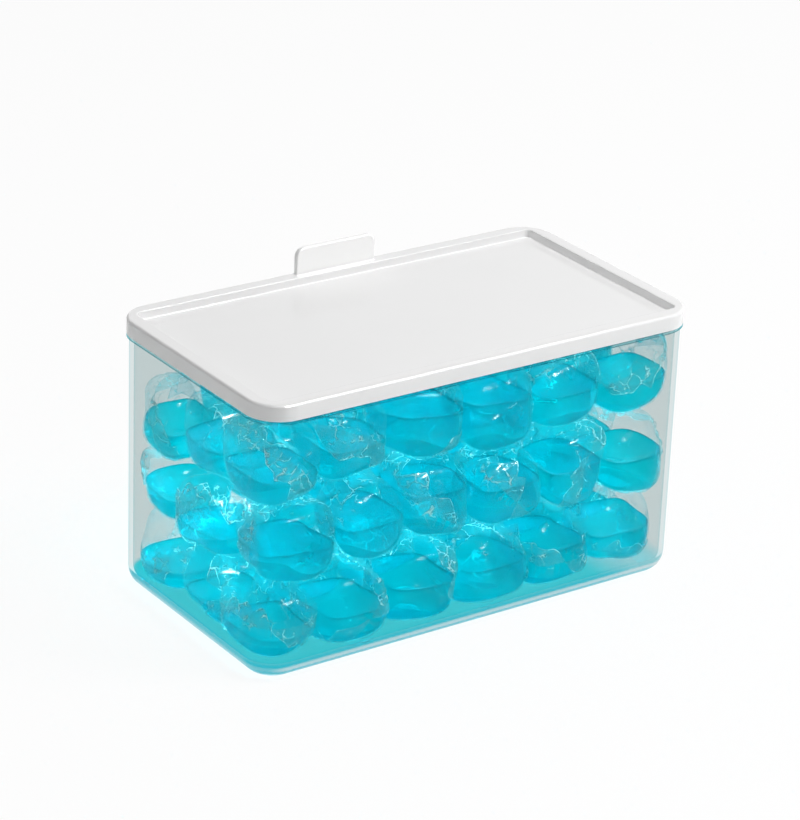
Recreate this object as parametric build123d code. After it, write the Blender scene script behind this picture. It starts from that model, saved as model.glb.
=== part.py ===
from build123d import *
from itertools import product
from math import cos, hypot, pi, sin, sqrt
import os
import random

# Driving dimensions, in millimetres. The origin is the middle of the footprint, on the surface below.

# Outline that the lid and the tub's ledge share
lid_length = 230.0
lid_width = 126.6
corner_radius = 16.0
least_radius = 0.4
touch = 0.001

# Clear tub
tub_height = 123.8
wall_setback = 1.2
wall_thickness = 2.2
floor_thickness = 2.6
foot_radius = 9.6
ledge_height = 1.6
ledge_chamfer = 0.4
neck_height = 5.2
neck_thickness = 1.0

# White lid
lid_seat_gap = 0.2
lid_height = 7.5
lid_wall = 1.4
lid_edge_radius = 1.4
rim_width = 7.0
panel_depth = 4.0
panel_thickness = 2.0
panel_corner_radius = 3.0
panel_edge_radius = 0.5
neck_clearance = 0.35

# Upright tab on the far long edge of the lid
tab_width = 42.8
tab_height = 13.0
tab_thickness = 2.8
tab_setback = 1.7
tab_corner_radius = 4.5
tab_edge_radius = 0.7
tab_root_radius = 0.8

# Soft pods: how many fill the tub, and how each is pressed into the room it has
pods_along = 6
pods_across = 3
pod_layers = 3
pod_reach = 32.0
pod_bulge = 23.0
pod_gap = 0.3
pod_sharpness = 14.0

# Flat seal round each pod: its turn from pod to pod, and the corners along it and on the two sides
seal_rise_step = 0.7549
seal_turn_step = 0.5698
seal_spokes = 14
seal_corner_spacing = 0.25
side_spokes = 7
side_corner_spacing = 0.4

# Heap of pods in the tub
heap_clearance = 6.0
heap_dip = 22.0
heap_stagger = 7.0
heap_shake = 4.5
heap_seed = 11

# Heights that follow
neck_top = tub_height + neck_height
lid_bottom = tub_height + lid_seat_gap
lid_top = lid_bottom + lid_height
panel_top = lid_top - panel_depth
panel_bottom = panel_top - panel_thickness
heap_top = panel_bottom - heap_clearance

# Distances in from the shared outline that follow
hollow_setback = wall_setback + wall_thickness
neck_setback = lid_wall + neck_clearance
mouth_setback = neck_setback + neck_thickness

# Inside of the tub that follows
hollow_length = lid_length - 2 * hollow_setback
hollow_width = lid_width - 2 * hollow_setback
hollow_corner_radius = corner_radius - hollow_setback
hollow_foot_radius = max(foot_radius - wall_thickness, least_radius)


def upright_block(setback, radius, bottom, top):
    """Upright block on the shared outline moved in by a setback, with a corner radius of its own."""
    outline = RectangleRounded(lid_length - 2 * setback, lid_width - 2 * setback, radius)
    return Pos(0, 0, bottom) * extrude(outline, top - bottom)


def rounded_block(setback, bottom, top):
    """Upright block with the shared rounded outline, moved in evenly by a setback."""
    return upright_block(setback, corner_radius - setback, bottom, top)


def edges_at(solid, height):
    """Edges of a solid that lie flat at one height."""
    return solid.edges().filter_by_position(Axis.Z, height - touch, height + touch)


def make_tub():
    """Clear moulded tub: rounded walls, a thin ledge under the lid and a neck that enters the lid."""
    ledge_bottom = tub_height - ledge_height
    walls = rounded_block(wall_setback, 0, tub_height)
    walls = fillet(edges_at(walls, 0), foot_radius)
    ledge = rounded_block(0, ledge_bottom, tub_height)
    ledge = chamfer(edges_at(ledge, ledge_bottom), ledge_chamfer)
    neck = rounded_block(neck_setback, tub_height, neck_top)
    hollow = rounded_block(hollow_setback, floor_thickness, tub_height)
    hollow = fillet(edges_at(hollow, floor_thickness), hollow_foot_radius)
    mouth = rounded_block(mouth_setback, ledge_bottom, neck_top)
    return walls + ledge + neck - hollow - mouth


def make_tab():
    """Upright plate with two round top corners, rooted in the rim of the lid."""
    root = lid_top - lid_wall / 2
    corner = (Align.CENTER, Align.MAX, Align.MIN)
    plate = Box(tab_width, tab_thickness, lid_top + tab_height - root, align=corner)
    plate = Pos(0, lid_width / 2 - tab_setback, root) * plate
    plate = fillet(plate.edges().filter_by(Axis.Y).group_by(Axis.Z)[-1], tab_corner_radius)
    sides = plate.faces().filter_by(Axis.Y).edges()
    return fillet(sides.filter_by(lambda edge: edge.center().Z > root), tab_edge_radius)


def make_lid():
    """White moulded lid: raised rim with a channel under it, sunken panel and upright tab."""
    shell = rounded_block(0, lid_bottom, lid_top)
    shell = fillet(edges_at(shell, lid_top), lid_edge_radius)
    channel = rounded_block(lid_wall, lid_bottom, lid_top - lid_wall)
    panel_setback = rim_width - lid_wall
    panel_block = upright_block(panel_setback, panel_corner_radius + lid_wall, panel_bottom, lid_top)
    recess = upright_block(rim_width, panel_corner_radius, panel_top, lid_top)
    recess = fillet(edges_at(recess, panel_top), panel_edge_radius)
    lid = shell - (channel - panel_block) - recess
    rim_face = lid.faces().sort_by(Axis.Z)[-1]
    lid = fillet(rim_face.inner_wires()[0].edges(), panel_edge_radius)
    tabbed = lid + make_tab()
    rim_faces = tabbed.faces().filter_by_position(Axis.Z, lid_top - touch, lid_top + touch)
    tab_outline = rim_faces.sort_by(SortBy.AREA)[-1].inner_wires().sort_by(SortBy.LENGTH)[0]
    return fillet(tab_outline.edges(), tab_root_radius)


def heap_surface(x, y):
    """Height of the heap at a place in the tub: it falls away towards the far left corner."""
    fall = max(0.0, y / hollow_width - x / hollow_length)
    return heap_top - heap_dip * fall


def pod_centres():
    """Middles of the pods: layers of staggered rows, shaken a little, that fill the tub."""
    dice = random.Random(heap_seed)
    centres = []
    for layer, row, column in product(range(pod_layers), range(pods_across), range(pods_along)):
        stagger = heap_stagger * ((layer + row) % 2 - 0.5)
        shake = [dice.uniform(-heap_shake, heap_shake) for axis in range(3)]
        x = ((column + 0.5) / pods_along - 0.5) * hollow_length + stagger + shake[0]
        y = ((row + 0.5) / pods_across - 0.5) * hollow_width + shake[1]
        depth = heap_surface(x, y) - floor_thickness
        z = floor_thickness + (layer + 0.5) / pod_layers * depth + shake[2]
        centres.append(Vector(x, y, z))
    return centres


def hollow_room(normal):
    """Distance from the origin to the plane that touches the tub's hollow on a normal's side."""
    straight_x = hollow_length / 2 - hollow_corner_radius
    straight_y = hollow_width / 2 - hollow_corner_radius
    corner = (hollow_corner_radius - hollow_foot_radius) * hypot(normal.X, normal.Y)
    foot = normal.Z * (floor_thickness + hollow_foot_radius) + hollow_foot_radius
    return abs(normal.X) * straight_x + abs(normal.Y) * straight_y + corner + foot


def pod_limits(index, centres):
    """What holds a pod, as directions with the room left in each: neighbours, tub and top of the heap."""
    centre = centres[index]
    limits = []
    for other in centres[:index] + centres[index + 1 :]:
        between = other - centre
        limits.append((between.normalized(), (between.length - pod_gap) / 2))
    for side in product((-1, 0, 1), (-1, 0, 1), (-1, 0)):
        if any(side):
            normal = Vector(*side).normalized()
            limits.append((normal, hollow_room(normal) - normal.dot(centre) - pod_gap / 2))
    limits.append((Vector(0, 0, 1), heap_surface(centre.X, centre.Y) - centre.Z))
    return limits


def seal_plane(index):
    """Plane of a pod's seal, turned on by even steps so that no two pods lie alike."""
    rise = 2 * (index * seal_rise_step % 1) - 1
    turn = 2 * pi * (index * seal_turn_step % 1)
    level = sqrt(1 - rise**2)
    return Plane((0, 0, 0), z_dir=(level * cos(turn), level * sin(turn), rise))


def pod_radius(direction, seal, limits):
    """Distance from a pod's middle to its film: a soft minimum of its pillow form and its room."""
    pillow = pod_reach - (pod_reach - pod_bulge) * abs(seal.z_dir.dot(direction))
    crowding = (1 / pillow) ** pod_sharpness
    for normal, room in limits:
        facing = max(normal.dot(direction), 0)
        crowding += (facing / room) ** pod_sharpness
    return crowding ** (-1 / pod_sharpness)


def ring_directions(seal, polar, spokes):
    """Directions at one angle from the normal of a seal, spread evenly round it."""
    turns = [2 * pi * spoke / spokes for spoke in range(spokes)]
    outward = [seal.x_dir * cos(turn) + seal.y_dir * sin(turn) for turn in turns]
    return [way * sin(polar) + seal.z_dir * cos(polar) for way in outward]


def pod_directions(seal, limits):
    """Directions to a pod's corners: towards what it leans on, along its seal and over its two sides."""
    directions = [normal for normal, room in limits if room < pod_bulge]
    sides = ring_directions(seal, pi / 4, side_spokes) + ring_directions(seal, 3 * pi / 4, side_spokes)
    sides += [seal.z_dir, -seal.z_dir]
    rim = ring_directions(seal, pi / 2, seal_spokes)
    for group, spacing in ((rim, seal_corner_spacing), (sides, side_corner_spacing)):
        for direction in group:
            if all((direction - taken).length > spacing for taken in directions):
                directions.append(direction)
    return directions


def make_pod(index, centres):
    """Sealed soft pod: a pillow with an edge at its seal, pressed flat towards what it leans on."""
    limits = pod_limits(index, centres)
    seal = seal_plane(index)
    corners = [centres[index] + d * pod_radius(d, seal, limits) for d in pod_directions(seal, limits)]
    return ConvexPolyhedron(corners)


os.makedirs("parts", exist_ok=True)
export_step(make_tub(), "parts/tub.step")
export_step(make_lid(), "parts/lid.step")
middles = pod_centres()
for number in range(len(middles)):
    export_step(make_pod(number, middles), f"parts/pod_{number + 1:02d}.step")
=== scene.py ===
import math

import bpy
import numpy as np
from bpy.props import FloatProperty, FloatVectorProperty, IntProperty, PointerProperty
from bpy.types import Operator, Panel, PropertyGroup
from mathutils import Matrix, Vector


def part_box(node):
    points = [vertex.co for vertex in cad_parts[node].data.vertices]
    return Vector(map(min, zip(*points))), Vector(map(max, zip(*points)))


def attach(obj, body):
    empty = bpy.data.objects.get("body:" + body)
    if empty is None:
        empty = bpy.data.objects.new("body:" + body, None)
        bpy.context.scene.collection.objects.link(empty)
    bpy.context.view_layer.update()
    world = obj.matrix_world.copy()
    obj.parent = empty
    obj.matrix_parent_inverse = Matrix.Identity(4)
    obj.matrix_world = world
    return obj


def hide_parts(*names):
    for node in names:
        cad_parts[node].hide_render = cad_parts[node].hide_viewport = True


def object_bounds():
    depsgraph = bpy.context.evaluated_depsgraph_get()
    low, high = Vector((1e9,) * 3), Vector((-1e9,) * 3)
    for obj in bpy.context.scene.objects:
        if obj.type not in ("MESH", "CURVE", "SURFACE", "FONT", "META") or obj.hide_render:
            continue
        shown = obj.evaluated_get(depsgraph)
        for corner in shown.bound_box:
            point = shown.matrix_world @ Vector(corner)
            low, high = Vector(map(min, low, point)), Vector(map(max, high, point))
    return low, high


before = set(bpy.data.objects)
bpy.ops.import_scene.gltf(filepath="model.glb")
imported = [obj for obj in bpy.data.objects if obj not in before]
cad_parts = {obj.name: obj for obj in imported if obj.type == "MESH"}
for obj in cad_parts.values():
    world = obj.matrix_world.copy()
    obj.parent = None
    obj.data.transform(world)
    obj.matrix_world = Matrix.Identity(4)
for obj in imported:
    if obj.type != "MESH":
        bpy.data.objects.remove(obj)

bl_info = {
    "name": "Detergent Storage Box",
    "version": (1, 0, 0),
    "blender": (4, 5, 0),
    "location": "View3D > Sidebar > Storage Box",
    "description": "Clear plastic, white lid, liquid pods and a plain studio for a detergent storage box",
    "category": "Object",
}

CAD_LOW, CAD_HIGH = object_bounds()
POD_NODES = sorted(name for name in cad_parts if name.startswith("pod_"))
LAYERS = ("lower", "middle", "upper")
BOX_BODY = "box"
PHOTO_WIDTH = 800
PHOTO_HEIGHT = 820
FULL_TURN = 2 * math.pi

# Uses of chance, each with numbers of its own for every pod
FILM_CHANCE = 0
LIQUID_CHANCE = 1
DENT_CHANCE = 2

# Grids of the pods' surfaces, places on a ball for dents and creases, and the angle of a sharp edge
BAG_ROWS = 35
BAG_COLUMNS = 96
SEAL_COLUMNS = 200
LIQUID_ROWS = 22
LIQUID_COLUMNS = 72
BALL_PLACES = 200
SHARP_ANGLE = math.radians(50)

# Heights in metres that the finish of the tub and the lid follows, worked out from the top of the tub's neck
NECK_HEIGHT = 0.0052
LEDGE_HEIGHT = 0.0016
RIM_ABOVE_LEDGE = 0.0077
LEDGE_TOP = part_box("tub")[1][2] - NECK_HEIGHT
LEDGE_BOTTOM = LEDGE_TOP - LEDGE_HEIGHT
RIM_TOP = LEDGE_TOP + RIM_ABOVE_LEDGE

# The whole range of a mask, and two ways for a mask to run over a band
WHOLE = (0.0, 1.0)
RISE = (0.0, 1.0)
FALL = (1.0, 0.0)


class PodShape(PropertyGroup):
    """Form of the soft pods."""

    reach: FloatProperty(
        name="Reach", description="Half width of a free pod across its seal", default=0.032, unit="LENGTH"
    )
    bulge: FloatProperty(
        name="Bulge", description="Half thickness of a free pod", default=0.023, unit="LENGTH"
    )
    gap: FloatProperty(
        name="Gap",
        description="Least room between a pod and the half-way plane to the next",
        default=0.0005,
        unit="LENGTH",
    )
    slack_sharpness: FloatProperty(
        name="Slack sharpness", description="How squarely the slack film on top fills its room", default=6.5
    )
    full_sharpness: FloatProperty(
        name="Full sharpness", description="How squarely the liquid below presses into its room", default=7.5
    )
    dents: IntProperty(name="Dents", description="Hollows pressed into each pod", default=6)
    dent_depth: FloatProperty(
        name="Dent depth",
        description="Share of a pod's half width that a dent takes",
        default=0.15,
        subtype="FACTOR",
    )
    dent_sharpness: FloatProperty(name="Dent sharpness", description="How narrow a dent is", default=8.0)
    wall: FloatProperty(
        name="Wall",
        description="From the tub's outside box to its hollow, at the sides",
        default=0.0034,
        unit="LENGTH",
    )
    floor: FloatProperty(
        name="Floor", description="Thickness of the tub's floor", default=0.0026, unit="LENGTH"
    )
    corner: FloatProperty(
        name="Corner", description="Radius of the hollow's upright corners", default=0.0126, unit="LENGTH"
    )
    foot: FloatProperty(
        name="Foot", description="Radius of the hollow round the floor", default=0.0074, unit="LENGTH"
    )
    fill: FloatProperty(
        name="Fill", description="Share of a pod's height that is liquid", default=0.55, subtype="FACTOR"
    )
    fill_spread: FloatProperty(
        name="Fill spread",
        description="How much the fill differs from pod to pod",
        default=0.09,
        subtype="FACTOR",
    )
    end_slack: FloatProperty(
        name="End slack",
        description="How much less full the pods at the ends are",
        default=0.22,
        subtype="FACTOR",
    )
    pucker_depth: FloatProperty(
        name="Pucker depth",
        description="Depth of the gathers beside the seal",
        default=0.0012,
        unit="LENGTH",
    )
    crease_depth: FloatProperty(
        name="Crease depth",
        description="Depth of the loose creases in the film",
        default=0.0008,
        unit="LENGTH",
    )
    creases: IntProperty(name="Creases", description="Loose creases in each film", default=7)
    seal_width: FloatProperty(
        name="Seal width", description="Width of the seal", default=0.0105, unit="LENGTH"
    )
    seal_ruffle: FloatProperty(
        name="Seal ruffle", description="How far the seal waves up and down", default=0.0016, unit="LENGTH"
    )
    film_thickness: FloatProperty(
        name="Film thickness", description="Thickness of the seal", default=0.00012, unit="LENGTH"
    )
    film_gap: FloatProperty(
        name="Film gap", description="Gap between the film and the liquid", default=0.0007, unit="LENGTH"
    )
    meniscus: FloatProperty(
        name="Meniscus", description="How far the liquid climbs at the film", default=0.0009, unit="LENGTH"
    )
    seal_rise_step: FloatProperty(
        name="Seal rise",
        description="Share of the full rise that each seal is tipped on from the last",
        default=0.7549,
    )
    seal_turn_step: FloatProperty(
        name="Seal turn",
        description="Share of a full turn that each seal is turned on from the last",
        default=0.5698,
    )
    seed: IntProperty(name="Seed", description="Start of the chance numbers", default=5)


class BoxFinish(PropertyGroup):
    """Colours of the object, and the light and shade painted on it."""

    clear_tint: FloatVectorProperty(
        name="Clear plastic",
        description="Tint of the clear walls",
        default=(0.735, 0.785, 0.785),
        subtype="COLOR",
    )
    # Painted light: the cyan that the pods throw into the foot and into walls seen edge on
    foot_edge_painted_light: FloatVectorProperty(
        name="Clear foot",
        description="Tint of the foot and of walls edge on",
        default=(0.34, 0.73, 0.79),
        subtype="COLOR",
    )
    # Painted light: the blue that the pods throw into the ledge under the lid
    ledge_painted_light: FloatVectorProperty(
        name="Clear ledge",
        description="Tint of the ledge under the lid",
        default=(0.22, 0.5, 0.54),
        subtype="COLOR",
    )
    # Painted light: the cyan glow of the pods on the floor inside the tub
    floor_painted_light: FloatVectorProperty(
        name="Clear floor",
        description="Tint of the floor below the pods",
        default=(0.003, 0.6, 0.71),
        subtype="COLOR",
    )
    lid_white: FloatVectorProperty(
        name="Lid", description="Colour of the lid", default=(0.84, 0.84, 0.84), subtype="COLOR"
    )
    # Painted light: the thin tab is painted paler for the light that comes through it
    tab_painted_light: FloatVectorProperty(
        name="Tab", description="Colour of the lid's thin tab", default=(0.96, 0.96, 0.955), subtype="COLOR"
    )
    liquid: FloatVectorProperty(
        name="Liquid", description="Colour of the detergent", default=(0.0, 0.76, 0.86), subtype="COLOR"
    )
    # Painted shade: a darker line where the liquid meets the film
    level: FloatVectorProperty(
        name="Level",
        description="Colour of the detergent where it meets the film",
        default=(0.0, 0.42, 0.5),
        subtype="COLOR",
    )
    film: FloatVectorProperty(
        name="Film", description="Colour of the pods' film", default=(0.04, 0.76, 0.83), subtype="COLOR"
    )
    # The folds' own whiteness, and painted highlight where they catch the light
    fold_white_and_highlight: FloatVectorProperty(
        name="Folds",
        description="Colour of the film's folds and cut edge",
        default=(0.75, 1.0, 1.0),
        subtype="COLOR",
    )


class Studio(PropertyGroup):
    """Camera and light."""

    eye: FloatVectorProperty(
        name="Camera place",
        description="Where the camera stands",
        default=(-0.79907, -1.12582, 0.69038),
        unit="LENGTH",
    )
    yaw: FloatProperty(
        name="Yaw",
        description="Turn of the view from +Y to +X",
        default=math.radians(35.191),
        subtype="ANGLE",
    )
    pitch: FloatProperty(
        name="Pitch",
        description="Fall of the view below the horizon",
        default=math.radians(24.064),
        subtype="ANGLE",
    )
    roll: FloatProperty(
        name="Roll",
        description="Turn of the picture about the view",
        default=math.radians(2.233),
        subtype="ANGLE",
    )
    focal: FloatProperty(name="Focal length", description="Focal length in picture pixels", default=3340.2)
    middle: FloatVectorProperty(
        name="Middle", description="Pixel that the lens points at", default=(394.5, 427.5), size=2
    )
    daylight: FloatProperty(
        name="Daylight", description="Light from all round on matt surfaces", default=0.34
    )
    key_power: FloatProperty(
        name="Key", description="Power of the lamp in front", default=34.0, unit="POWER"
    )
    key_place: FloatVectorProperty(
        name="Key place",
        description="Where the lamp in front stands",
        default=(0.95, -0.88, 1.72),
        unit="LENGTH",
    )
    key_size: FloatProperty(
        name="Key size", description="Width of the lamp in front", default=0.6, unit="LENGTH"
    )
    glint_power: FloatProperty(
        name="Glint", description="Power of the lamp that only shows in gloss", default=260.0, unit="POWER"
    )
    glint_place: FloatVectorProperty(
        name="Glint place",
        description="Where the lamp that only shows in gloss stands",
        default=(0.2, -1.7, 1.9),
        unit="LENGTH",
    )
    glint_size: FloatProperty(
        name="Glint size",
        description="Width of the lamp that only shows in gloss",
        default=0.8,
        unit="LENGTH",
    )
    floor_half: FloatProperty(
        name="Floor half", description="Half width of the studio floor", default=4.0, unit="LENGTH"
    )


def spread_directions(count):
    """Unit vectors spread evenly over a ball: equal steps in height, each turned by the golden angle."""
    step = np.arange(count) + 0.5
    height = 1 - 2 * step / count
    turn = step * math.pi * (3 - math.sqrt(5))
    ring = np.sqrt(1 - height**2)
    return np.stack([ring * np.cos(turn), ring * np.sin(turn), height], axis=-1)


def tub_sides():
    """Unit normals of the hollow's sides, edges and corners, with none that point up."""
    sides = np.array([(x, y, z) for x in (-1, 0, 1) for y in (-1, 0, 1) for z in (-1, 0)], dtype=float)
    lengths = np.linalg.norm(sides, axis=1, keepdims=True)
    outward = lengths[:, 0] > 0
    return sides[outward] / lengths[outward]


BALL = spread_directions(BALL_PLACES)
TUB_SIDES = tub_sides()
POD_BOXES = np.array([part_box(name) for name in POD_NODES])
POD_MIDDLES = POD_BOXES.mean(axis=1)


def chance(number, shape, use):
    """Chance numbers of one pod, drawn apart for each use."""
    return np.random.default_rng(shape.seed + use * len(POD_NODES) + number)


def hollow_room(shape):
    """Distance from the origin to the plane that touches the tub's hollow on each of its sides: the straight
    lengths, plus the corner radius level with the floor and the foot radius round it."""
    half = np.array(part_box("tub")[1])[:2] - shape.wall - shape.corner
    straight = np.abs(TUB_SIDES[:, :2]) @ half
    corner = (shape.corner - shape.foot) * np.linalg.norm(TUB_SIDES[:, :2], axis=1)
    return straight + corner + TUB_SIDES[:, 2] * (shape.floor + shape.foot) + shape.foot


class Pod:
    """Soft form of one pod: a pillow with an edge at its seal, pressed into the room that its solid has."""

    def __init__(self, number, shape):
        self.shape = shape
        self.middle = POD_MIDDLES[number]
        others = np.delete(POD_MIDDLES, number, axis=0) - self.middle
        distance = np.linalg.norm(others, axis=1)
        sides = hollow_room(shape) - TUB_SIDES @ self.middle
        top = POD_BOXES[number, 1, 2] - self.middle[2]
        self.normals = np.concatenate([others / distance[:, None], TUB_SIDES, [[0, 0, 1]]])
        self.rooms = np.concatenate([distance / 2, sides, [top]]) - shape.gap
        rise = 2 * (number * shape.seal_rise_step % 1) - 1
        turn = FULL_TURN * (number * shape.seal_turn_step % 1)
        level = math.sqrt(1 - rise**2)
        self.normal = np.array([level * math.cos(turn), level * math.sin(turn), rise])
        self.across = np.cross(self.normal, np.eye(3)[np.argmin(np.abs(self.normal))])
        self.across /= np.linalg.norm(self.across)
        self.along = np.cross(self.normal, self.across)
        dice = chance(number, shape, DENT_CHANCE)
        self.dents = BALL[dice.integers(0, BALL_PLACES, size=shape.dents)]

    def radius(self, directions):
        """Distance from the middle to the film: the p-norm soft minimum of the pillow and the room in each
        direction, with a p that grows from the slack top to the full bottom, made smaller by a share that
        is a power of the cosine to each dent."""
        shape = self.shape
        pillow = shape.reach - (shape.reach - shape.bulge) * np.abs(directions @ self.normal)
        nearness = np.maximum(directions @ self.normals.T, 0) / self.rooms
        low = np.clip(0.5 - directions[..., 2], 0, 1)
        power = shape.slack_sharpness + (shape.full_sharpness - shape.slack_sharpness) * low
        crowding = (1 / pillow) ** power + (nearness ** power[..., None]).sum(axis=-1)
        dent = (np.maximum(directions @ self.dents.T, 0) ** shape.dent_sharpness).sum(axis=-1)
        return crowding ** (-1 / power) * (1 - shape.dent_depth * np.minimum(dent, 1))


def even_turns(count):
    """Angles of points spread evenly round a full turn."""
    return np.linspace(0, FULL_TURN, count, endpoint=False)


def grid_faces(rows, columns, closed_rows=False):
    """Quads of a grid whose columns wrap round, and whose rows wrap too if closed."""
    row_count = rows if closed_rows else rows - 1
    row = np.arange(row_count)[:, None]
    column = np.arange(columns)[None, :]
    next_row = (row + 1) % rows
    next_column = (column + 1) % columns
    quads = [row * columns + column, row * columns + next_column, next_row * columns + next_column]
    quads.append(next_row * columns + column)
    return np.stack(np.broadcast_arrays(*quads), axis=-1).reshape(-1, 4)


def fan_faces(ring_start, columns, pole, turned):
    """Triangles from a ring of a grid to the point that closes it."""
    column = np.arange(columns)
    ahead = (column + 1) % columns
    ends = (column, ahead) if turned else (ahead, column)
    return np.stack([ring_start + ends[0], ring_start + ends[1], np.full(columns, pole)], axis=-1)


# Folds: how many waves are summed, and the least number of folds or swells round a seal with the number that
# they stay under
FOLD_WAVES = 3
GATHER_FOLDS = (7, 22)
RAGGED_FOLDS = (3, 14)
SEAL_FOLDS = (6, 22)
SWELLS = (1, 3)


def folds(turn, dice, fold_range):
    """Sum of a few triangle waves of whole-number frequency in a range, of about unit size, each swelling and
    fading once or twice round the seal."""
    rates = dice.integers(*fold_range, size=FOLD_WAVES)
    starts = dice.uniform(0, FULL_TURN, size=FOLD_WAVES)
    zigzag = np.arcsin(np.cos(turn[..., None] * rates + starts)) * 2 / math.pi
    swell_rates = dice.integers(*SWELLS, size=FOLD_WAVES)
    swell_starts = dice.uniform(0, FULL_TURN, size=FOLD_WAVES)
    swell = np.cos(turn[..., None] * swell_rates + swell_starts)
    return (zigzag * (0.5 + 0.5 * swell)).sum(axis=-1)


# Bag: lengths on a ball of radius 1 over which gathers, creases and the white beside the seal fade, and how
# white the creases and the film beside the seal are
GATHER_FADE = 0.3
CREASE_FADE = 0.08
CREASE_WIDTH = 0.035
CREASE_WHITE = 0.55
CREASE_WHITEST = 0.5
SEAL_SIDE_WHITE = 0.4
SEAL_SIDE_FADE = 0.2


def film_bag(pod, shape, dice):
    """Closed bag: the pod's radius, less gathers that fade away from the seal, with a few short creases in or
    out, which fade away from a place on the bag and from a line through it. Its mask is white beside the
    seal and along the creases, for the folded film's own whiteness and painted highlight."""
    polar = np.linspace(0, math.pi, BAG_ROWS + 2)[1:-1, None]
    turn = even_turns(BAG_COLUMNS)[None, :]
    ring = np.cos(turn)[..., None] * pod.across + np.sin(turn)[..., None] * pod.along
    directions = np.sin(polar)[..., None] * ring + np.cos(polar)[..., None] * pod.normal
    directions = np.concatenate([directions.reshape(-1, 3), [pod.normal, -pod.normal]])
    lift = directions @ pod.normal
    turns = np.concatenate([np.broadcast_to(turn, (BAG_ROWS, BAG_COLUMNS)).reshape(-1), [0, 0]])
    gather = np.exp(-((lift / GATHER_FADE) ** 2)) * np.abs(folds(turns, dice, GATHER_FOLDS))
    places = BALL[dice.integers(0, BALL_PLACES, size=shape.creases)]
    tilts = dice.normal(size=(shape.creases, 3))
    tilts -= np.sum(tilts * places, axis=1, keepdims=True) * places
    tilts /= np.linalg.norm(tilts, axis=1, keepdims=True)
    near = np.exp((directions @ places.T - 1) / CREASE_FADE)
    crease = near * np.exp(-np.abs(directions @ tilts.T) / CREASE_WIDTH)
    sink = (crease * np.sign(dice.normal(size=shape.creases))).sum(axis=1)
    radius = pod.radius(directions) - shape.pucker_depth * gather - shape.crease_depth * sink
    points = pod.middle + directions * radius[:, None]
    quads = grid_faces(BAG_ROWS, BAG_COLUMNS)
    last = BAG_ROWS * BAG_COLUMNS
    caps = [
        fan_faces(0, BAG_COLUMNS, last, True),
        fan_faces(last - BAG_COLUMNS, BAG_COLUMNS, last + 1, False),
    ]
    loose = np.clip(crease.sum(axis=1) * CREASE_WHITE, 0, CREASE_WHITEST)
    beside = SEAL_SIDE_WHITE * np.exp(-((lift / SEAL_SIDE_FADE) ** 2))
    return points, quads[:, ::-1], np.concatenate(caps), np.maximum(beside, loose)


# Seal: shares of its width at which its rows lie, how white each row is, plain and on a fold's crest, how
# much its width differs, how often and how sharply it changes sides, and the sizes of fold between which a
# crest turns white
SEAL_ROWS = np.array([0, 0.3, 0.6, 0.93, 1])[:, None]
SEAL_PLAIN_WHITE = np.array([0.4, 0.35, 0.35, 0.4, 1.0])[:, None]
SEAL_CREST_WHITE = np.array([0.5, 0.55, 0.6, 0.7, 1.0])[:, None]
SEAL_RAGGED = 0.3
SEAL_SIDES = (1, 3)
SEAL_SIDE_SHARPNESS = 3
CREST_START = 0.48
CREST_END = 0.88


def film_seal(pod, shape, dice):
    """Crinkled flange: a thin closed band from the seal's edge, laid back along the pod by an angle that
    grows with the distance from the edge, and lifted off it by folds. Its mask is white along the cut edge
    and the folds, for the folded film's own whiteness and painted highlight."""
    turn = even_turns(SEAL_COLUMNS)
    outward = np.cos(turn)[:, None] * pod.across + np.sin(turn)[:, None] * pod.along
    ragged = 1 + SEAL_RAGGED * folds(turn, dice, RAGGED_FOLDS)
    swing = np.cos(turn * dice.integers(*SEAL_SIDES) + dice.uniform(0, FULL_TURN))
    side = np.tanh(SEAL_SIDE_SHARPNESS * swing)
    lean = SEAL_ROWS * side * ragged * shape.seal_width / shape.bulge
    directions = np.cos(lean)[..., None] * outward + np.sin(lean)[..., None] * pod.normal
    fold = np.abs(folds(turn, dice, SEAL_FOLDS))
    bag = pod.radius(directions)
    reach = bag - shape.film_gap * (1 - SEAL_ROWS) + shape.seal_ruffle * SEAL_ROWS * fold
    reach = np.minimum(reach, bag + shape.gap)
    sheet = pod.middle + directions * reach[..., None]
    half = pod.normal * shape.film_thickness / 2
    loop = np.concatenate([sheet + half, sheet[::-1] - half])
    faces = grid_faces(2 * len(SEAL_ROWS), SEAL_COLUMNS, closed_rows=True)
    crest = np.clip((fold - CREST_START) / (CREST_END - CREST_START), 0, 1)
    white = np.maximum(SEAL_PLAIN_WHITE, crest * SEAL_CREST_WHITE)
    return loop.reshape(-1, 3), faces, np.concatenate([white, white[::-1]]).reshape(-1)


# Liquid: steps in the search for its level, shares of the way in at which the rings of its surface lie, and
# lengths in metres over which its climb and its painted darker line of shade die away
LEVEL_HALVINGS = 28
SURFACE_RINGS = np.array([0.02, 0.05, 0.1, 0.18, 0.3, 0.5, 0.75])[:, None, None]
CLIMB_FADE = 0.0012
LEVEL_SHADE_FADE = 0.0016


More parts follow.
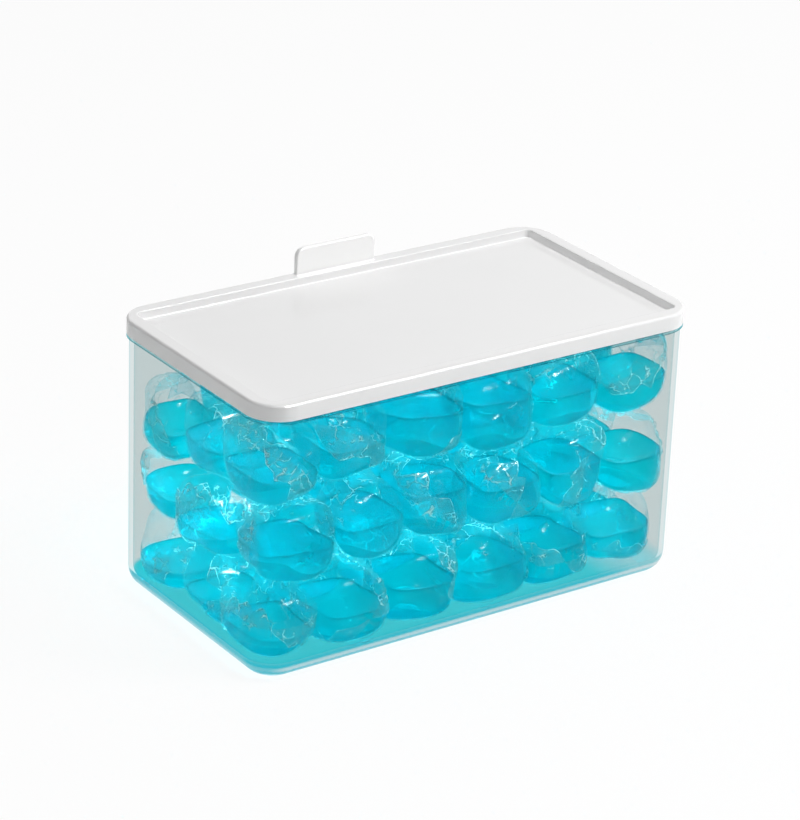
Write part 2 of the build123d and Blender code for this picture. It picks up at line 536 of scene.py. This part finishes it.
def liquid_body(pod, shape, dice):
    """Liquid: the lower part of the pod up to a level, where it climbs the film and then lies flat to its
    middle. The level falls with the cube of the distance from the tub's middle along it, so that the pods at
    the ends are slack. Its mask, which places a painted darker line of shade, is 1 where the liquid meets the
    film and dies away below and inwards."""
    inset = shape.film_gap
    poles = np.array([[0.0, 0.0, -1.0], [0.0, 0.0, 1.0]])
    bottom, top = (pod.radius(poles) - inset) * poles[:, 2]
    end_share = abs(pod.middle[0]) / np.abs(POD_MIDDLES[:, 0]).max()
    fill = shape.fill - shape.end_slack * end_share**3 + shape.fill_spread * dice.uniform(-1, 1)
    level = bottom + (top - bottom) * fill
    turn = even_turns(LIQUID_COLUMNS)
    flat = np.stack([np.cos(turn), np.sin(turn), np.zeros(LIQUID_COLUMNS)], axis=-1)

    def wall_point(polar):
        """Points on the inside of the film, at an angle from straight down in each upright plane."""
        directions = np.sin(polar)[..., None] * flat + np.cos(polar)[..., None] * poles[0]
        return directions * (pod.radius(directions) - inset)[..., None]

    low = np.zeros(LIQUID_COLUMNS)
    high = np.full(LIQUID_COLUMNS, math.pi)
    for halving in range(LEVEL_HALVINGS):
        polar = (low + high) / 2
        under = wall_point(polar)[:, 2] < level + shape.meniscus
        low = np.where(under, polar, low)
        high = np.where(under, high, polar)
    share = np.linspace(0, 1, LIQUID_ROWS + 1)[1:, None]
    side = wall_point(share * low)
    rim = side[-1]
    middle = np.array([rim[:, 0].mean(), rim[:, 1].mean(), level])
    surface = rim + (middle - rim) * SURFACE_RINGS
    climb = np.exp(-np.linalg.norm((surface - rim)[..., :2], axis=-1) / CLIMB_FADE)
    surface[..., 2] = level + shape.meniscus * climb
    points = np.concatenate([side.reshape(-1, 3), surface.reshape(-1, 3), [[0, 0, bottom], middle]])
    below = np.exp((side[..., 2] - level - shape.meniscus) / LEVEL_SHADE_FADE)
    mask = np.concatenate([below.reshape(-1), climb.reshape(-1), [0, 0]])
    ring_count = LIQUID_ROWS + len(SURFACE_RINGS)
    last = ring_count * LIQUID_COLUMNS
    caps = [
        fan_faces(0, LIQUID_COLUMNS, last, False),
        fan_faces(last - LIQUID_COLUMNS, LIQUID_COLUMNS, last + 1, True),
    ]
    return points + pod.middle, grid_faces(ring_count, LIQUID_COLUMNS), np.concatenate(caps), mask


def put_mesh(name, parts, material):
    """One object from several closed surfaces, each given as points, groups of faces and a mask on the
    points."""
    points, faces, mask = [], [], []
    start = 0
    for part_points, part_faces, part_mask in parts:
        points.append(part_points)
        mask.append(part_mask)
        for group in part_faces:
            faces.extend((group + start).tolist())
        start += len(part_points)
    mesh = bpy.data.meshes.new(name)
    mesh.from_pydata(np.concatenate(points).tolist(), [], faces)
    rim = mesh.attributes.new("rim", "FLOAT", "POINT")
    rim.data.foreach_set("value", np.concatenate(mask).astype(np.float32))
    mesh.polygons.foreach_set("use_smooth", np.ones(len(mesh.polygons), dtype=bool))
    mesh.set_sharp_from_angle(angle=SHARP_ANGLE)
    mesh.materials.append(material)
    piece = bpy.data.objects.new(name, mesh)
    bpy.context.scene.collection.objects.link(piece)
    return piece


def new_material(name):
    """Empty material with its nodes, links and Principled shader."""
    material = bpy.data.materials.new(name)
    material.use_nodes = True
    nodes = material.node_tree.nodes
    nodes.clear()
    output = nodes.new("ShaderNodeOutputMaterial")
    shader = nodes.new("ShaderNodeBsdfPrincipled")
    material.node_tree.links.new(shader.outputs["BSDF"], output.inputs["Surface"])
    return material, nodes, material.node_tree.links, shader


def moulded_group():
    """Node group for moulded plastic: cloudy tint, uneven gloss and a slow swell, on object coordinates."""
    group = bpy.data.node_groups.get("moulded_plastic")
    if group:
        return group
    group = bpy.data.node_groups.new("moulded_plastic", "ShaderNodeTree")
    face = group.interface
    for name, kind, default in (
        ("Colour", "NodeSocketColor", (0.8, 0.8, 0.8, 1)),
        ("Shade", "NodeSocketColor", (0.7, 0.7, 0.7, 1)),
        ("Gloss Low", "NodeSocketFloat", 0.05),
        ("Gloss High", "NodeSocketFloat", 0.1),
        ("Scale", "NodeSocketFloat", 20.0),
    ):
        face.new_socket(name, in_out="INPUT", socket_type=kind).default_value = default
    face.new_socket("Colour", in_out="OUTPUT", socket_type="NodeSocketColor")
    face.new_socket("Roughness", in_out="OUTPUT", socket_type="NodeSocketFloat")
    face.new_socket("Height", in_out="OUTPUT", socket_type="NodeSocketFloat")
    nodes, links = group.nodes, group.links
    inside = nodes.new("NodeGroupInput")
    outside = nodes.new("NodeGroupOutput")
    place = nodes.new("ShaderNodeTexCoord")
    cloud = nodes.new("ShaderNodeTexNoise")
    cloud.inputs["Detail"].default_value = 3.0
    links.new(place.outputs["Object"], cloud.inputs["Vector"])
    links.new(inside.outputs["Scale"], cloud.inputs["Scale"])
    tint = nodes.new("ShaderNodeMix")
    tint.data_type = "RGBA"
    links.new(cloud.outputs["Fac"], tint.inputs["Factor"])
    links.new(inside.outputs["Colour"], tint.inputs["A"])
    links.new(inside.outputs["Shade"], tint.inputs["B"])
    fine = nodes.new("ShaderNodeTexNoise")
    fine.inputs["Scale"].default_value = 900.0
    fine.inputs["Detail"].default_value = 2.0
    links.new(place.outputs["Object"], fine.inputs["Vector"])
    gloss = nodes.new("ShaderNodeMapRange")
    links.new(fine.outputs["Fac"], gloss.inputs["Value"])
    links.new(inside.outputs["Gloss Low"], gloss.inputs["To Min"])
    links.new(inside.outputs["Gloss High"], gloss.inputs["To Max"])
    links.new(tint.outputs["Result"], outside.inputs["Colour"])
    links.new(gloss.outputs["Result"], outside.inputs["Roughness"])
    links.new(cloud.outputs["Fac"], outside.inputs["Height"])
    return group


def moulded_plastic(nodes, links, shader, colour, shade, gloss, scale, swell):
    """Feeds a shader's colour, roughness and normal from the moulded plastic group, and returns its colour.
    The shade is a share of the colour, and the swell is the height of the waves in metres."""
    colour = np.array(colour)
    plastic = nodes.new("ShaderNodeGroup")
    plastic.node_tree = moulded_group()
    plastic.inputs["Colour"].default_value = (*colour, 1)
    plastic.inputs["Shade"].default_value = (*(colour * shade), 1)
    plastic.inputs["Gloss Low"].default_value = gloss[0]
    plastic.inputs["Gloss High"].default_value = gloss[1]
    plastic.inputs["Scale"].default_value = scale
    links.new(plastic.outputs["Colour"], shader.inputs["Base Color"])
    links.new(plastic.outputs["Roughness"], shader.inputs["Roughness"])
    bump = nodes.new("ShaderNodeBump")
    bump.inputs["Strength"].default_value = 1.0
    bump.inputs["Distance"].default_value = swell
    links.new(plastic.outputs["Height"], bump.inputs["Height"])
    links.new(bump.outputs["Normal"], shader.inputs["Normal"])
    return plastic.outputs["Colour"]


def math_node(nodes, links, operation, first, second, clamp=False):
    """Result of one calculation on two inputs, each a socket or a plain number."""
    node = nodes.new("ShaderNodeMath")
    node.operation = operation
    node.use_clamp = clamp
    for socket, value in zip(node.inputs, (first, second)):
        if isinstance(value, (int, float)):
            socket.default_value = value
        else:
            links.new(value, socket)
    return node.outputs["Value"]


def product(nodes, links, first, *others):
    """Product of several inputs, each a socket or a plain number."""
    for other in others:
        first = math_node(nodes, links, "MULTIPLY", first, other)
    return first


def mapped(nodes, links, value, source, target):
    """Value eased from one range to another and held at its ends."""
    ease = nodes.new("ShaderNodeMapRange")
    ease.interpolation_type = "SMOOTHSTEP"
    links.new(value, ease.inputs["Value"])
    ease.inputs["From Min"].default_value, ease.inputs["From Max"].default_value = source
    ease.inputs["To Min"].default_value, ease.inputs["To Max"].default_value = target
    return ease.outputs["Result"]


def facing_mask(nodes, links, power, strength):
    """Mask that grows as the surface is seen more edge on: a power of the facing, times a strength."""
    slope = nodes.new("ShaderNodeLayerWeight")
    slope.inputs["Blend"].default_value = 0.5
    steep = math_node(nodes, links, "POWER", slope.outputs["Facing"], power)
    return product(nodes, links, steep, strength)


def axes_of(nodes, links, kind):
    """The three axes of one kind of texture coordinate."""
    place = nodes.new("ShaderNodeTexCoord")
    axes = nodes.new("ShaderNodeSeparateXYZ")
    links.new(place.outputs[kind], axes.inputs["Vector"])
    return axes.outputs


def rim_mask(nodes):
    """Mask that the meshes of the pods carry on their points."""
    mask = nodes.new("ShaderNodeAttribute")
    mask.attribute_name = "rim"
    return mask.outputs["Fac"]


def overlaid(nodes, links, colour, overlays):
    """Colour, a socket or a plain value, turned into each overlay colour in turn by that colour's mask."""
    for mask, overlay_colour in overlays:
        mix = nodes.new("ShaderNodeMix")
        mix.data_type = "RGBA"
        links.new(mask, mix.inputs["Factor"])
        if isinstance(colour, bpy.types.NodeSocket):
            links.new(colour, mix.inputs["A"])
        else:
            mix.inputs["A"].default_value = (*colour, 1)
        mix.inputs["B"].default_value = (*overlay_colour, 1)
        colour = mix.outputs["Result"]
    return colour


# Clear plastic: bands of height in metres for the painted light at the foot and the floor inside, the painted
# highlight line on the foot and the painted light at the ledge, the band along the tub where the pods end,
# and bands of the surface's tilt
FOOT_BAND = (0.002, 0.009)
FLOOR_BAND = (0.0085, 0.0105)
FOOT_HIGHLIGHT_START = (0.004, 0.0054)
FOOT_HIGHLIGHT_END = (0.0062, 0.0078)
FOOT_HIGHLIGHT_STRENGTH = 0.5
LEDGE_EASE = 0.0004
LEDGE_START_BAND = (LEDGE_BOTTOM - LEDGE_EASE, LEDGE_BOTTOM)
LEDGE_END_BAND = (LEDGE_TOP, LEDGE_TOP + LEDGE_EASE)
PODS_END_BAND = (0.075, 0.105)
UPWARD_BAND = (0.02, 0.2)
NEAR_SIDE_BAND = (-0.6, -0.1)
NEAR_SIDE_RANGE = (0.3, 1.0)
BENT_TILT = -0.03


def clear_plastic(finish):
    """Clear moulded walls: a faint cool tint, with painted light, a deeper blue, at the foot, on the floor
    inside and at the ledge for the light that they gather from the pods, and a painted deeper blue edge on.
    Walls let light straight through, and the rounded foot and the ledge bend it. A painted highlight line
    runs along the foot."""
    material, nodes, links, shader = new_material("clear_plastic_walls")
    colour = moulded_plastic(
        nodes, links, shader, finish.clear_tint, shade=0.97, gloss=(0.0, 0.02), scale=14.0, swell=0.00004
    )
    shader.inputs["Transmission Weight"].default_value = 1.0
    shader.inputs["IOR"].default_value = 1.3
    place = axes_of(nodes, links, "Object")
    normal = axes_of(nodes, links, "Normal")
    inside = nodes.new("ShaderNodeNewGeometry").outputs["Backfacing"]

    foot = mapped(nodes, links, place["Z"], FOOT_BAND, FALL)
    above_wall = mapped(nodes, links, place["Z"], LEDGE_START_BAND, RISE)
    below_neck = mapped(nodes, links, place["Z"], LEDGE_END_BAND, FALL)
    ledge = product(nodes, links, above_wall, below_neck)
    outward = product(nodes, links, math_node(nodes, links, "SUBTRACT", 0.5, inside), normal["Z"])
    # Painted light from the pods on the floor inside: low, facing up and within the pods' reach along the tub
    low = mapped(nodes, links, place["Z"], FLOOR_BAND, FALL)
    upward = mapped(nodes, links, outward, UPWARD_BAND, RISE)
    filled = mapped(nodes, links, place["X"], PODS_END_BAND, FALL)
    floor_light_mask = product(nodes, links, low, upward, filled)
    edge = facing_mask(nodes, links, power=5.0, strength=0.6)
    # Painted light from the pods at the foot, on the floor inside and at the ledge, and a painted deeper blue
    # edge on
    overlays = (
        (foot, finish.foot_edge_painted_light),
        (floor_light_mask, finish.floor_painted_light),
        (ledge, finish.ledge_painted_light),
        (edge, finish.foot_edge_painted_light),
    )
    links.new(overlaid(nodes, links, colour, overlays), shader.inputs["Base Color"])

    half = nodes.new("ShaderNodeGamma")
    half.inputs["Gamma"].default_value = 0.5
    links.new(overlaid(nodes, links, finish.clear_tint, overlays), half.inputs["Color"])
    straight = nodes.new("ShaderNodeBsdfTransparent")
    links.new(half.outputs["Color"], straight.inputs["Color"])
    tilted = math_node(nodes, links, "LESS_THAN", normal["Z"], BENT_TILT)
    bent = math_node(nodes, links, "SUBTRACT", tilted, inside, clamp=True)
    body = nodes.new("ShaderNodeMixShader")
    links.new(bent, body.inputs["Fac"])
    links.new(straight.outputs["BSDF"], body.inputs[1])
    links.new(shader.outputs["BSDF"], body.inputs[2])

    # Painted highlight: a light line of gloss along the foot, fainter on the left side
    above = mapped(nodes, links, place["Z"], FOOT_HIGHLIGHT_START, (0.0, FOOT_HIGHLIGHT_STRENGTH))
    below = mapped(nodes, links, place["Z"], FOOT_HIGHLIGHT_END, FALL)
    near = mapped(nodes, links, normal["X"], NEAR_SIDE_BAND, NEAR_SIDE_RANGE)
    line = product(nodes, links, above, below, bent, near)
    shine = math_node(nodes, links, "ADD", facing_mask(nodes, links, power=8.0, strength=0.06), line)
    gloss = nodes.new("ShaderNodeBsdfGlossy")
    gloss.inputs["Roughness"].default_value = 0.02
    surface = nodes.new("ShaderNodeMixShader")
    links.new(shine, surface.inputs["Fac"])
    links.new(body.outputs["Shader"], surface.inputs[1])
    links.new(gloss.outputs["BSDF"], surface.inputs[2])
    links.new(surface.outputs["Shader"], nodes["Material Output"].inputs["Surface"])
    return material


# White plastic: heights in metres above the rim between which the colour turns into the tab's, painted paler
# for the light that comes through it
TAB_START = 0.0003
TAB_FULL = 0.002
TAB_BAND = (RIM_TOP + TAB_START, RIM_TOP + TAB_FULL)


def white_plastic(finish):
    """White glossy lid: barely clouded, with a fine grain in its gloss, and painted paler at the thin tab for
    the light that comes through it."""
    material, nodes, links, shader = new_material("white_plastic_lid")
    colour = moulded_plastic(
        nodes, links, shader, finish.lid_white, shade=0.975, gloss=(0.05, 0.1), scale=30.0, swell=0.00003
    )
    # Painted light: paler above the rim, at the thin tab
    tab = mapped(nodes, links, axes_of(nodes, links, "Object")["Z"], TAB_BAND, RISE)
    links.new(overlaid(nodes, links, colour, ((tab, finish.tab_painted_light),)), shader.inputs["Base Color"])
    shader.inputs["IOR"].default_value = 1.5
    return material


# Liquid: the part of the mask that shows as a painted darker line of shade, and how dark that is
LEVEL_SHADE_BAND = (0.2, 0.9)
LEVEL_SHADE_STRENGTH = 0.75


def pod_liquid(finish):
    """Blue liquid, slightly cloudy and uneven in colour, with a painted darker line of shade where it meets
    the film.
    """
    material, nodes, links, shader = new_material("blue_detergent")
    colour = moulded_plastic(
        nodes, links, shader, finish.liquid, shade=0.94, gloss=(0.0, 0.01), scale=40.0, swell=0.00002
    )
    # Painted shade: a darker line where the liquid meets the film
    line = mapped(nodes, links, rim_mask(nodes), LEVEL_SHADE_BAND, (0.0, LEVEL_SHADE_STRENGTH))
    links.new(overlaid(nodes, links, colour, ((line, finish.level),)), shader.inputs["Base Color"])
    shader.inputs["Transmission Weight"].default_value = 0.77
    shader.inputs["IOR"].default_value = 1.1
    return material


# Film: bands and ranges of its dashes, its cut edge, its crinkles and the painted shade on its folds where
# they face down, how far the crinkles bend, the white veil over its folds, its haze face on, and its
# roughness
DASH_BAND = (0.42, 0.55)
DASH_RANGE = (0.1, 1.0)
CUT_BAND = (0.6, 1.0)
CUT_STRENGTH = 0.85
CRINKLE_BAND = (0.0, 0.06)
CRINKLE_STRENGTH = 2.0
LIT_BAND = (-0.4, 0.3)
LIT_RANGE = (0.15, 1.0)
CRINKLE_BEND = 0.008
VEIL = 0.2
HAZE = 0.045
FILM_ROUGHNESS = (0.05, 0.16)


def pod_film(finish):
    """Thin crinkled film: nearly clear, hazier where it is seen edge on, and white along its cut edge and the
    crinkles on its seal, beside it and in its creases: the folded film's own whiteness and painted highlight.
    A cloudy mask breaks the white into dashes, and painted shade takes it away where the film faces down."""
    material, nodes, links, shader = new_material("crinkled_film")
    place = nodes.new("ShaderNodeTexCoord")
    cloud = nodes.new("ShaderNodeTexNoise")
    cloud.inputs["Scale"].default_value = 170.0
    links.new(place.outputs["Object"], cloud.inputs["Vector"])
    bent = nodes.new("ShaderNodeMix")
    bent.data_type = "VECTOR"
    bent.inputs["Factor"].default_value = CRINKLE_BEND
    links.new(place.outputs["Object"], bent.inputs["A"])
    links.new(cloud.outputs["Color"], bent.inputs["B"])
    crinkle = nodes.new("ShaderNodeTexVoronoi")
    crinkle.feature = "DISTANCE_TO_EDGE"
    crinkle.inputs["Scale"].default_value = 140.0
    links.new(bent.outputs["Result"], crinkle.inputs["Vector"])

    zone = rim_mask(nodes)
    dash = mapped(nodes, links, cloud.outputs["Fac"], DASH_BAND, DASH_RANGE)
    cut = mapped(nodes, links, zone, CUT_BAND, (0.0, CUT_STRENGTH))
    line = mapped(nodes, links, crinkle.outputs["Distance"], CRINKLE_BAND, (CRINKLE_STRENGTH, 0.0))
    line = product(nodes, links, line, zone)
    # Painted shade: the folds lose their white where the film faces down, away from the light
    lit = mapped(nodes, links, axes_of(nodes, links, "Normal")["Z"], LIT_BAND, LIT_RANGE)
    drawn = product(nodes, links, math_node(nodes, links, "ADD", cut, line), dash, lit)
    veil = product(nodes, links, zone, VEIL)
    white = math_node(nodes, links, "ADD", drawn, veil, clamp=True)
    # The folds' own whiteness, and painted highlight where they catch the light
    colour = overlaid(nodes, links, finish.film, ((white, finish.fold_white_and_highlight),))
    links.new(colour, shader.inputs["Base Color"])

    haze = math_node(nodes, links, "ADD", facing_mask(nodes, links, power=3.0, strength=0.4), HAZE)
    links.new(math_node(nodes, links, "ADD", haze, white, clamp=True), shader.inputs["Alpha"])
    roughness = mapped(nodes, links, cloud.outputs["Fac"], WHOLE, FILM_ROUGHNESS)
    links.new(roughness, shader.inputs["Roughness"])
    shader.inputs["Specular IOR Level"].default_value = 1.0
    bump = nodes.new("ShaderNodeBump")
    bump.inputs["Distance"].default_value = 0.00025
    links.new(cloud.outputs["Fac"], bump.inputs["Height"])
    links.new(bump.outputs["Normal"], shader.inputs["Normal"])
    return material


def paint_node(name, material):
    """Gives a CAD node a better material in its own slots."""
    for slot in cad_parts[name].material_slots:
        slot.material = material


def layer_numbers(layer):
    """Places in the list of pods that one layer takes, counted from the bottom."""
    size = len(POD_NODES) // len(LAYERS)
    return range(layer * size, (layer + 1) * size)


class STORAGEBOX_OT_tub(Operator):
    """Finishes the clear tub"""

    bl_idname = "storagebox.tub"
    bl_label = "Clear Tub"

    def execute(self, context):
        paint_node("tub", clear_plastic(context.scene.box_finish))
        return {"FINISHED"}


class STORAGEBOX_OT_lid(Operator):
    """Finishes the white lid"""

    bl_idname = "storagebox.lid"
    bl_label = "White Lid"

    def execute(self, context):
        paint_node("lid", white_plastic(context.scene.box_finish))
        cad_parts["lid"].visible_shadow = False
        return {"FINISHED"}


class STORAGEBOX_OT_films(Operator):
    """Makes the pods' crinkled films, one piece for each layer"""

    bl_idname = "storagebox.films"
    bl_label = "Pod Films"

    def execute(self, context):
        shape = context.scene.pod_shape
        material = pod_film(context.scene.box_finish)
        for layer, word in enumerate(LAYERS):
            parts = []
            for number in layer_numbers(layer):
                dice = chance(number, shape, FILM_CHANCE)
                pod = Pod(number, shape)
                points, quads, caps, mask = film_bag(pod, shape, dice)
                parts.append((points, (quads, caps), mask))
                points, quads, mask = film_seal(pod, shape, dice)
                parts.append((points, (quads,), mask))
            piece = put_mesh(f"film_{word}", parts, material)
            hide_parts(*(POD_NODES[number] for number in layer_numbers(layer)))
            piece.visible_shadow = False
            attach(piece, BOX_BODY)
        return {"FINISHED"}


class STORAGEBOX_OT_liquid(Operator):
    """Makes the liquid in the pods, one piece for each layer"""

    bl_idname = "storagebox.liquid"
    bl_label = "Pod Liquid"

    def execute(self, context):
        shape = context.scene.pod_shape
        material = pod_liquid(context.scene.box_finish)
        for layer, word in enumerate(LAYERS):
            parts = []
            for number in layer_numbers(layer):
                dice = chance(number, shape, LIQUID_CHANCE)
                points, quads, caps, mask = liquid_body(Pod(number, shape), shape, dice)
                parts.append((points, (quads, caps), mask))
            piece = put_mesh(f"liquid_{word}", parts, material)
            piece.visible_shadow = False
            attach(piece, BOX_BODY)
        return {"FINISHED"}


def background_mask(nodes, links, to_eye):
    """Mask that is 1 in gloss and glass, a given share to the eye itself, and 0 for the light on matt
    surfaces."""
    path = nodes.new("ShaderNodeLightPath")
    seen = product(nodes, links, path.outputs["Is Camera Ray"], to_eye)
    glossy = path.outputs["Is Glossy Ray"]
    mirrored = math_node(nodes, links, "ADD", glossy, path.outputs["Is Transmission Ray"])
    return math_node(nodes, links, "ADD", seen, mirrored, clamp=True)


def studio_floor(half):
    """Wide pale floor that keeps a soft shadow and looks white through glass."""
    corners = [(-half, -half, 0), (half, -half, 0), (half, half, 0), (-half, half, 0)]
    mesh = bpy.data.meshes.new("floor")
    mesh.from_pydata(corners, [], [(0, 1, 2, 3)])
    material, nodes, links, shader = new_material("pale_floor")
    shader.inputs["Base Color"].default_value = (0.9, 0.9, 0.9, 1)
    shader.inputs["Roughness"].default_value = 0.8
    white = nodes.new("ShaderNodeEmission")
    mix = nodes.new("ShaderNodeMixShader")
    links.new(background_mask(nodes, links, to_eye=0.9), mix.inputs["Fac"])
    links.new(shader.outputs["BSDF"], mix.inputs[1])
    links.new(white.outputs["Emission"], mix.inputs[2])
    links.new(mix.outputs["Shader"], nodes["Material Output"].inputs["Surface"])
    mesh.materials.append(material)
    floor = bpy.data.objects.new("floor", mesh)
    bpy.context.scene.collection.objects.link(floor)


def studio_world(studio):
    """White surroundings for the eye and in glass, and a plainer light on matt surfaces."""
    world = bpy.data.worlds.new("studio_world")
    bpy.context.scene.world = world
    world.use_nodes = True
    nodes, links = world.node_tree.nodes, world.node_tree.links
    sky = nodes["Background"]
    sky.inputs["Color"].default_value = (1, 1, 1, 1)
    white = background_mask(nodes, links, to_eye=1.0)
    links.new(mapped(nodes, links, white, WHOLE, (studio.daylight, 1.0)), sky.inputs["Strength"])


def studio_lamp(name, place, aim, size, power):
    """Square soft lamp that faces a point."""
    lamp = bpy.data.lights.new(name, "AREA")
    lamp.shape = "SQUARE"
    lamp.size = size
    lamp.energy = power
    holder = bpy.data.objects.new(name, lamp)
    holder.location = place
    holder.rotation_euler = (Vector(aim) - Vector(place)).to_track_quat("-Z", "Y").to_euler()
    bpy.context.scene.collection.objects.link(holder)
    return holder


def studio_camera(studio):
    """Camera of the picture: place, yaw, pitch and roll, with the lens middle moved by the shift."""
    level = Vector((math.cos(studio.yaw), -math.sin(studio.yaw), 0))
    fall = math.cos(studio.pitch)
    ahead = Vector((fall * math.sin(studio.yaw), fall * math.cos(studio.yaw), -math.sin(studio.pitch)))
    above = level.cross(ahead)
    right = math.cos(studio.roll) * level + math.sin(studio.roll) * above
    up = math.cos(studio.roll) * above - math.sin(studio.roll) * level
    lens = bpy.data.cameras.new("camera")
    longest = max(PHOTO_WIDTH, PHOTO_HEIGHT)
    lens.lens = studio.focal * lens.sensor_width / longest
    lens.shift_x = (PHOTO_WIDTH / 2 - studio.middle[0]) / longest
    lens.shift_y = (studio.middle[1] - PHOTO_HEIGHT / 2) / longest
    lens.clip_end = 50.0
    camera = bpy.data.objects.new("camera", lens)
    turn = Matrix((right, up, -ahead)).transposed()
    camera.matrix_world = Matrix.Translation(Vector(studio.eye)) @ turn.to_4x4()
    bpy.context.scene.collection.objects.link(camera)
    bpy.context.scene.camera = camera


class STORAGEBOX_OT_studio(Operator):
    """Sets up the floor, the light and the camera"""

    bl_idname = "storagebox.studio"
    bl_label = "Studio"

    def execute(self, context):
        scene = context.scene
        studio = scene.box_studio
        scene.view_settings.view_transform = "Standard"
        scene.cycles.max_bounces = 22
        scene.cycles.transmission_bounces = 22
        scene.cycles.transparent_max_bounces = 64
        scene.cycles.caustics_reflective = False
        studio_floor(studio.floor_half)
        studio_world(studio)
        aim = (CAD_LOW + CAD_HIGH) / 2
        studio_lamp("key_lamp", studio.key_place, aim, studio.key_size, studio.key_power)
        glint = studio_lamp("glint_lamp", studio.glint_place, aim, studio.glint_size, studio.glint_power)
        glint.visible_diffuse = False
        glint.visible_transmission = False
        studio_camera(studio)
        return {"FINISHED"}


class STORAGEBOX_PT_panel(Panel):
    """Sidebar with the settings and the steps"""

    bl_idname = "STORAGEBOX_PT_panel"
    bl_label = "Storage Box"
    bl_space_type = "VIEW_3D"
    bl_region_type = "UI"
    bl_category = "Storage Box"

    def draw(self, context):
        layout = self.layout
        for group in GROUPS:
            for name in GROUPS[group].__annotations__:
                layout.prop(getattr(context.scene, group), name)
        for step in STEPS:
            layout.operator(step.bl_idname)


GROUPS = {"pod_shape": PodShape, "box_finish": BoxFinish, "box_studio": Studio}
STEPS = (
    STORAGEBOX_OT_tub,
    STORAGEBOX_OT_lid,
    STORAGEBOX_OT_films,
    STORAGEBOX_OT_liquid,
    STORAGEBOX_OT_studio,
)


def register():
    for kind in (*GROUPS.values(), *STEPS, STORAGEBOX_PT_panel):
        bpy.utils.register_class(kind)
    for group, kind in GROUPS.items():
        setattr(bpy.types.Scene, group, PointerProperty(type=kind))


def unregister():
    for group in GROUPS:
        delattr(bpy.types.Scene, group)
    for kind in (STORAGEBOX_PT_panel, *reversed(STEPS), *reversed(list(GROUPS.values()))):
        bpy.utils.unregister_class(kind)


def main():
    register()
    bpy.ops.storagebox.tub()
    bpy.ops.storagebox.lid()
    bpy.ops.storagebox.films()
    bpy.ops.storagebox.liquid()
    bpy.ops.storagebox.studio()


if __name__ == "__main__":
    main()
